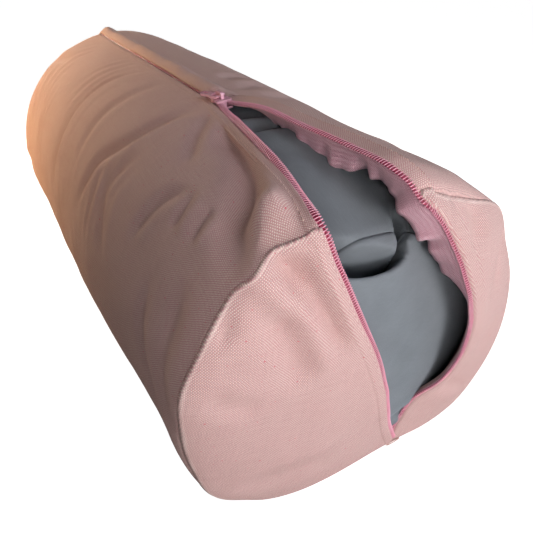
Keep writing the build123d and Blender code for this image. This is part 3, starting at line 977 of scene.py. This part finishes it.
def hanging_tape(course):
    """The same where the zip is closed, turning to hang into the open mouth with a wavy free edge."""
    edge, out, mouth = course.edge, unit(eased(course.out, 26)), unit(eased(course.mouth, 26))
    length, back = distances(edge), from_low_end(edge)
    hanging = smooth01((edge[:, 0] - 76) / 50) * smooth01((back - 128) / 38)
    tilt = np.radians(through(TAPE_TILT, back))[:, None]
    wave = (0.5 * wander(length / 6, 0.0, 41) + 0.9 * wander(length / 14, 0.0, 42))[:, None]
    drop = TAPE_DEPTH * (1 + 0.06 * wave)
    side = 2.7 + np.sin(tilt) * drop + TAPE_SWAY * wave * np.cos(tilt)
    down = -1.2 - np.cos(tilt) * drop + TAPE_SWAY * wave * np.sin(tilt)
    hung = edge[:, None] + mouth[:, None] * side[..., None] + out[:, None] * down[..., None]
    share = hanging[:, None, None]
    return flat_tape(course) * (1 - share) + hung * share


left_tape = strip("zip_tape_left_cloth", courses["left"], flat_tape(courses["left"]))
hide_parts("zip_tape_left")
right_tape = strip("zip_tape_right_cloth", courses["right"], hanging_tape(courses["right"]))
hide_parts("zip_tape_right")

# ---------- lap over the closed chain

LAP_CLOTH = 0.5  # thinner than the cover's cloth, since it is pressed down along the chain
# Section of the lap, from its root to its tucked edge: side in the zip's frame, height above the roll.
LAP_SECTION = [
    (14.5, -0.5), (12.5, 0.25), (10.5, 1.2), (8.0, 3.3), (5.5, 4.5), (2.8, 4.6), (0.4, 3.7), (-1.7, 2.35),
    (-2.6, 1.5), (-2.5, 0.9), (-1.6, 1.1), (1.0, 2.0), (4.0, 2.4), (7.0, 1.6),
]

lap_x = np.linspace(-HALF + 1, SLIDER_TAIL + 3, 170)[:, None]
fade = smooth01((SLIDER_TAIL + 2 - lap_x) / 14)
puff = 1 + 0.22 * wander(lap_x / 17, 0.0, 21) + 0.12 * wander(lap_x / 7, 5.0, 22)
shift = 0.8 * wander(lap_x / 24, 9.0, 23)
section_side, section_up = np.array(LAP_SECTION).T
lap_side = section_side + shift * (section_side < 10)
closed_side = np.maximum(lap_side, 6.0 + 0.35 * (lap_side + 2.6))
lap_side = lap_side * fade + closed_side * (1 - fade)
lap_up = section_up * puff * (0.25 + 0.75 * fade)
lap_y, lap_z = from_zip(lap_side, np.sqrt(RADIUS**2 - lap_side**2) + lap_up)
end_drop = 4 * smooth01((-HALF + 16 - lap_x) / 15)
lap_points = np.stack([lap_x + 0 * lap_y, lap_y, lap_z - end_drop], -1)
lap_uv = np.stack([lap_points[..., 0], CLOTH_ROUND - distances(lap_points, 1)], -1)
lap_faces = grid_faces(*lap_points.shape[:2])
lap = piece("cover_lap_canvas", lap_points, lap_faces, canvas, "cover_cloth", lap_uv)
thicken(lap, LAP_CLOTH, 0)
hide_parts("cover_barrel")
fold_base = from_zip(9.0, RADIUS)
fold_base[0] * MM
fold_base[1] * MM
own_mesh(lap)

# ---------- liner

# How far the liner's open-end rim has slumped inside the cover's mouth, by turn.
LINER_SEAM = [
    (-180, 3), (-120, 4), (-60, 7), (-30, 10), (-16, 15.5), (-4, 18), (6, 19), (20, 21), (45, 14),
    (80, 6), (130, 4),
]
LINER_TOP_FOLDS = [
    (2.0, 2.6, 0.2, [(84, -14), (92, -6), (100, 2), (98, 14)]),
    (4.5, 4.0, 0.35, [(103, -16), (109, -7), (113, 3), (110, 16)]),
    (1.6, 7.0, 0.3, [(126, -20), (140, -8), (152, -4), (168, -6)]),
]
LINER_CAP_FOLDS = [
    (2.5, 7.0, 0.2, [(20, 30), (34, 38), (52, 40)]),
    (1.6, 9.0, 0.2, [(-20, 130), (6, 110), (30, 96)]),
    (2.0, 6.0, 0.3, [(24, 8), (30, 20), (44, 26)]),
]
# The liner's low front has folded up over a deep pocket: (y, z) of the fold's edge from the left
# lip to the rim, how deep the pocket is and how far above the edge it reaches.
LINER_POCKET = [
    (-46, 174, 18, 12), (-31, 166.5, 28, 13), (-20, 163, 36, 13), (-8.4, 161.2, 42, 12),
    (4, 161.4, 44, 8.5), (11.8, 164.8, 42, 5.5), (15.0, 170.6, 38, 4.5), (20, 177, 28, 5),
    (27, 184, 24, 6), (38, 195, 20, 6),
]
POCKET_WAY = unit(np.array([-0.55, 0.42, -0.72]))  # the pocket runs back, down and to the right
LINER_SWELL = 7.5  # how far the liner swells up at the mouth
LINER_SLUMP_START = 112.0  # where along the roll it begins to slump
LINER_LEAN = 0.4


def pocket(y, z):
    """Depth of the pocket at points of the liner's end."""
    distance, side, (depth, reach) = nearest_on(fine_line(LINER_POCKET, 10), y, z)
    above = side * distance
    return depth * smooth01(above / 3.0) * (1 - smooth01((above - 3.0) / reach))


def liner_surface(x, turn):
    """The liner's outside, held in by the cover and slumped at the mouth."""
    v = turn * MM_PER_DEGREE
    swell = LINER_SWELL * bell((turn + 4) / 42) * smooth01((x + 40) / 70)
    slump = np.clip((x - LINER_SLUMP_START) / (LINER_HALF - LINER_SLUMP_START), 0, 1) ** 2
    back = np.clip((-x - LINER_HALF + 20) / 20, 0, 1)
    fallen = (around(LINER_SEAM, turn) + swell) * slump + 6 * rounded(back) * off_floor(turn)
    radius = flattened(LINER_RADIUS, turn, LINER_AXIS, CLOTH) + swell - fallen
    radius = radius + np.where(np.abs(turn) > FLOOR_TURN, 0, 1) * (0.8 * wander(x / 30, v / 30, 31) - 0.8)
    cover = barrel_surface(np.minimum(x, HALF - 16), turn)
    bulging = 2.4 * bell((turn + ZIP_ROLL) / 2.4) * smooth01((x - 66) / 12)
    room = np.hypot(cover[..., 1], cover[..., 2] - LINER_AXIS) - 2.8 + bulging
    radius = np.minimum(radius, room) + all_folds(LINER_TOP_FOLDS, x, v, MM_PER_DEGREE)
    radius = np.minimum(radius - 1.3 * bell((LINER_HALF - x) / 1.3), room)
    made = polar(x, radius, turn, LINER_AXIS)
    deep = pocket(made[..., 1], made[..., 2]) * smooth01((x - 182) / 17) ** 1.5
    made = made + deep[..., None] * POCKET_WAY
    made[..., 2] = np.maximum(made[..., 2], CLOTH + 0.3)
    return made


def liner_rim(turn, sign):
    """Points of the seam round an end of the liner."""
    return liner_surface(np.full(np.shape(turn), sign * LINER_HALF), turn)


def liner_outline(turn, sign):
    """How far from the axis that seam would be without the pocket."""
    edge = liner_rim(turn, sign)
    deep = edge[..., 0] - sign * LINER_HALF
    edge = edge - (deep / POCKET_WAY[0])[..., None] * POCKET_WAY
    return np.hypot(edge[..., 1], edge[..., 2] - LINER_AXIS)


def liner_cap(sign):
    """The surface of an end of the liner; only the open end, sign 1, is folded and has the pocket."""

    def surface(share, turn):
        y, z = np.moveaxis(polar(0, share * liner_outline(turn, sign), turn, LINER_AXIS), -1, 0)[1:]
        x = LINER_HALF + 15.5 * (1 - share**2.8) ** 0.62
        if sign > 0:
            x = x + all_folds(LINER_CAP_FOLDS, y, z) * smooth01((1 - share) / 0.05)
        x = x + 0.8 * wander(y / 26, z / 26, 33) * smooth01((1 - share) / 0.1)
        made = np.stack([sign * x, y, z], -1)
        return made + pocket(y, z)[..., None] * POCKET_WAY if sign > 0 else made

    return surface


liner_turn = np.linspace(-180, 180, 260, endpoint=False)
liner_rows = np.concatenate([np.linspace(-LINER_HALF, 40, 70)[:-1], np.linspace(40, LINER_HALF, 110)])
liner_grid = liner_surface(liner_rows[:, None], liner_turn[None, :])
for row, lean in ((-1, -LINER_LEAN), (0, LINER_LEAN)):
    liner_grid = with_seam_allowance(liner_grid, row, into_roll(liner_turn, lean), 4.0)
liner_uv = np.stack([liner_grid[..., 0], liner_turn * MM_PER_DEGREE + 0 * liner_grid[..., 0]], -1)
liner_faces = flipped(grid_faces(*liner_grid.shape[:2], closed=True))
liner_barrel = piece("liner_barrel_cloth", liner_grid, liner_faces, microfibre, "liner_cloth", liner_uv)
thicken(liner_barrel, LINER_CLOTH)
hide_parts("liner_barrel", "filling")
for name, sign, rows in (("liner_front_cap", 1, 120), ("liner_back_cap", -1, 50)):
    lean = -LINER_LEAN * sign
    made = disc_panel(f"{name}_cloth", rows, 260, liner_cap(sign), lean, sign, microfibre, "liner_cloth")
    thicken(made, LINER_CLOTH)
    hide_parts(name)

# ---------- threads

STITCH_STEP = 0.4  # distance between the points of a stitch


def stitches(node_name, ending, path, outward, stitch, gap, radius, look, slot, sink=0.45, raise_by=0.22):
    """A row of separate stitches that dip into the cloth at both ends."""
    path, outward = resampled(path, STITCH_STEP, outward)
    outward = unit(outward)
    per, inside = int((stitch + gap) / STITCH_STEP), int(stitch / STITCH_STEP)
    height = raise_by - (sink + raise_by) * np.linspace(-1, 1, inside + 1)[:, None] ** 4
    parts = []
    for start in range(0, len(path) - per, per):
        run = slice(start, start + inside + 1)
        parts.append(tube(path[run] + outward[run] * height, radius, 5, outward[run]))
    made = piece(f"{node_name}_{ending}", *joined(parts), look, slot)
    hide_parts(node_name)


for name, side in (("left", -1), ("right", 1)):
    grid, cap = lip_grids(side)
    grid, cap = grid[(row_x > ZIP_FAR_END) & (row_x < HALF - 2)], cap[6:-8]
    places = [STITCH_OUTSIDE[side] - 1.4, 12.0, 0.0]
    lines = [np.concatenate([at_distance(grid, d), at_distance(cap, d)]) for d in places]
    line, inner, edge = resampled(lines[0], 0.8, *lines[1:])
    line = eased(line, 2)
    normal = eased(unit(np.cross(unit(np.gradient(line, axis=0)), unit(edge - inner)) * -side), 6)
    stitches(f"topstitch_{name}", "thread", line, normal, 2.4, 0.8, 0.27, pink_thread, "sewing_thread")

# The front seam is open at the mouth. The last value is the end of the roll that a seam is on.
front_turn = np.concatenate([np.linspace(8, 180, 300), np.linspace(180, 360 - 27, 300)[1:]])
whole_turn = np.linspace(-180, 180, 600)
PINK_SEAM = (2.8, 0.4, 0.25, pink_thread, "sewing_thread", 0.3, 0.0)
GREY_SEAM = (2.6, 0.4, 0.2, grey_thread, "liner_thread", 0.3, 0.0)
front_seam = polar(seam_x(front_turn) + 0.1, seam_radius(front_turn) - 1.1, front_turn)
SEAMS = (
    ("seam_thread_front", front_seam, PINK_SEAM, 1),
    ("seam_thread_back", polar(-HALF - 0.1, back_outline(whole_turn), whole_turn), PINK_SEAM, -1),
    ("liner_seam_thread_front", liner_rim(whole_turn, 1) + [0.1, 0, 0], GREY_SEAM, 1),
    ("liner_seam_thread_back", liner_rim(whole_turn, -1) - [0.1, 0, 0], GREY_SEAM, -1),
)
for name, line, thread, end in SEAMS:
    stitches(name, "stitches", line, unit(line - [end * 150, 0, AXIS]), *thread)


def bar_tack(node_name):
    """Thread wound back and forth across both coils."""
    low, high = millimetres(node_name)
    middle = (low + high) / 2
    course = courses["left"]
    k = int(np.argmin(np.linalg.norm(course.edge - middle, axis=1)))
    out, turns = course.out[k], 9
    t = np.linspace(0, turns, turns * 12 + 1)[:, None]
    path = middle + course.mouth[k] * (5.2 * np.cos(2 * pi * t)) + course.along[k] * ((t / turns - 0.5) * 2.6)
    path = path + out * (0.2 + 0.45 * np.sin(2 * pi * t))
    tack = tube(path, 0.3, 6, np.broadcast_to(out, path.shape))
    made = piece(f"{node_name}_thread", *tack, pink_thread, "sewing_thread")
    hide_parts(node_name)


bar_tack("zip_tack_far")
bar_tack("zip_tack_near")

# ---------- slider

for name in ("slider_body", "pull_tab"):
    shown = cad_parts[name]
    shown.data.materials.clear()
    shown.data.materials.append(enamel)
    soften = shown.modifiers.new("edges", "BEVEL")
    soften.width = 0.22 * MM
    soften.segments = 3
    soften.limit_method = "ANGLE"
    soften.angle_limit = radians(40)

# ---------- floor, lights and camera

# Strength of the floor's glow and of the room's light: what they give off, then what the camera sees.
FLOOR_GLOW = (0.0, 1.0)
ROOM_LIGHT = (0.0, 1.0)
FLOOR_REACH = 12
# Name, place, what it points at, size, spread in degrees, power, colour.
LAMPS = (
    ("key", (1.3, 0.25, 0.12), (0.1, 0.0, 0.1), 0.6, 180, 13.0, (0.99, 0.96, 0.97)),
    ("front", (1.3, -0.3, 0.4), (0.1, 0.0, 0.1), 0.7, 180, 2.8, (1.0, 0.98, 0.97)),
    ("side", (0.6, 1.2, 0.3), (0.1, 0.0, 0.1), 0.7, 180, 5.6, (0.70, 0.94, 1.0)),
    ("top", (0.7, 0.3, 1.1), (0.1, 0.0, 0.1), 0.6, 180, 3.8, (0.90, 0.92, 1.0)),
    ("mouth", (0.50, -0.28, 0.32), (0.20, 0.02, 0.17), 0.15, 45, 0.042, (1.0, 0.95, 0.94)),
    ("far", (-0.62, -0.14, 0.27), (-0.16, 0.0, 0.12), 0.12, 180, 2.0, (1.0, 0.88, 0.66)),
    ("over", (-0.40, -0.12, 0.50), (-0.16, 0.0, 0.12), 0.2, 180, 0.35, (1.0, 0.88, 0.66)),
    ("warm", (-0.28, -0.60, 0.22), (-0.27, -0.10, 0.13), 0.10, 75, 0.7, (1.0, 0.68, 0.33)),
)


def strength(tree, dim, seen):
    """A strength that is one value for the light given off and another for what the camera sees."""
    return node(tree, "ShaderNodeLightPath", output="Is Camera Ray") * (seen - dim) + dim


def floor():
    made, tree, shader = material("pale_floor", roughness=0.9)
    grain = noise(tree, object_place(tree), 30.0, 3.0)
    plug(grain.between((0.50, 0.48, 0.47), (0.54, 0.52, 0.51)), shader["Base Color"])
    plug((1, 1, 1), shader["Emission Color"])
    plug(strength(tree, *FLOOR_GLOW), shader["Emission Strength"])
    mesh = bpy.data.meshes.new("floor")
    corners = [(x * FLOOR_REACH, y * FLOOR_REACH, 0) for x, y in ((-1, -1), (1, -1), (1, 1), (-1, 1))]
    mesh.from_pydata(corners, [], [(0, 1, 2, 3)])
    mesh.materials.append(made)
    add("floor", mesh)


def lamps():
    for name, place, target, size, spread, power, colour in LAMPS:
        light = bpy.data.lights.new(name, "AREA")
        light.size = size
        light.spread = radians(spread)
        light.energy = power
        light.color = colour
        holder = add(name, light)
        holder.location = place
        holder.rotation_euler = (Vector(target) - Vector(place)).to_track_quat("-Z", "Y").to_euler()
        holder.visible_camera = False


def room():
    world = bpy.data.worlds.new("studio")
    world.use_nodes = True
    background = next(n for n in world.node_tree.nodes if n.type == "BACKGROUND").inputs
    plug((1, 1, 1), background["Color"])
    plug(strength(world.node_tree, *ROOM_LIGHT), background["Strength"])
    bpy.context.scene.world = world
    bpy.context.scene.view_settings.view_transform = "Standard"


def camera():
    """A phone held above the open end's left side, rolled a few degrees."""
    forward = Vector((-0.7009, 0.4481, -0.555)).normalized()
    down = Vector((0.5016, -0.2436, -0.8301))
    down = (down - forward * down.dot(forward)).normalized()
    right = down.cross(forward)
    data = bpy.data.cameras.new("camera")
    data.lens = 31.93
    data.sensor_width = 36
    data.clip_start = 0.01
    made = add("camera", data)
    rotation = Matrix((right, -down, -forward)).transposed()
    made.matrix_world = Matrix.Translation((0.3346, -0.1481, 0.2844)) @ rotation.to_4x4()
    bpy.context.scene.camera = made


floor()
lamps()
room()
camera()
